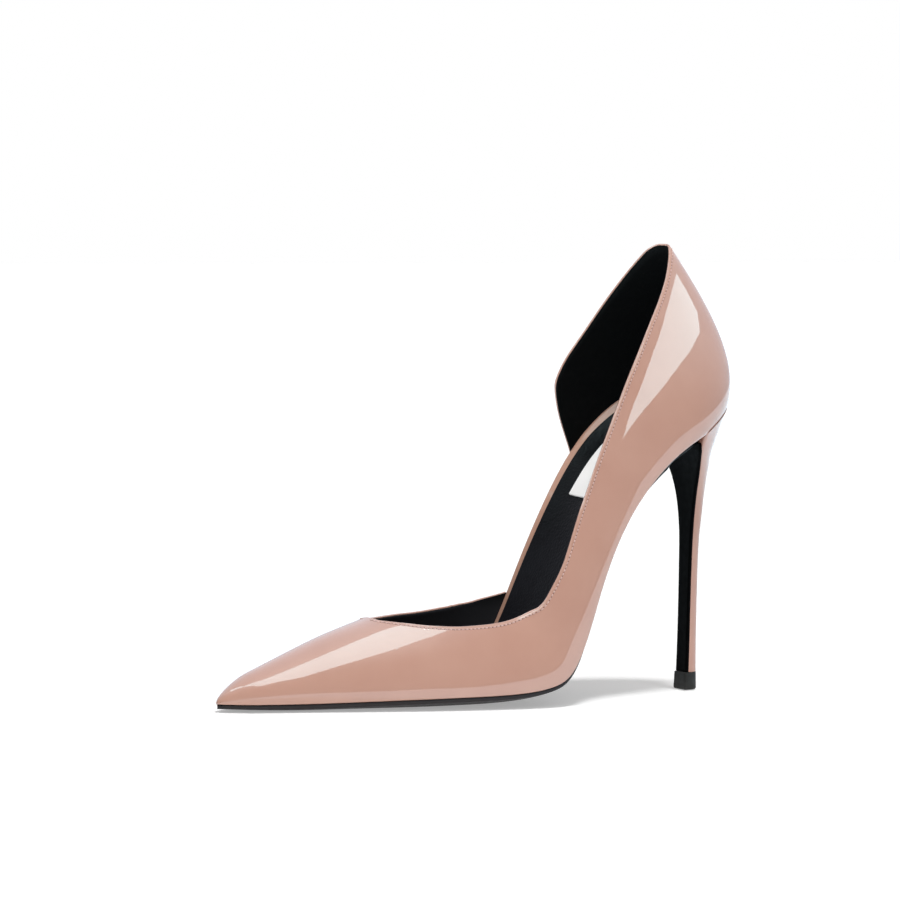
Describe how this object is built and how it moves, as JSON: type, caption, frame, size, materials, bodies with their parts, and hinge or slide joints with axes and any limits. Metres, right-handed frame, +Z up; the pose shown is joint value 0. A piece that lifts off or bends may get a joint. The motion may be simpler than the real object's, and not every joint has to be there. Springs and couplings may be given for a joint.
{
  "type": "stiletto pump",
  "caption": "Left pointed-toe stiletto pump in glossy nude leather, with a closed outer side, an inner side cut open at the arch and a slim high heel.",
  "frame": {"origin": "on the floor, under the middle of the bounding box", "axes": "the toe points along -X, the outer side of the foot faces -Y, +Z is up from the floor"},
  "size_m": [0.2242, 0.0712, 0.1729],
  "materials": {
    "nude_patent": "glossy patent",
    "black_leather": "satin",
    "pale_leather": "matte",
    "dark_rubber": "matte"
  },
  "bodies": {
    "root": {"upper": "nude_patent", "insole": "nude_patent", "sock_lining": "black_leather", "heel_pad": "pale_leather", "outsole": "black_leather", "heel": "nude_patent", "heel_breast_cover": "black_leather", "top_lift": "dark_rubber"}
  },
  "joints": []
}
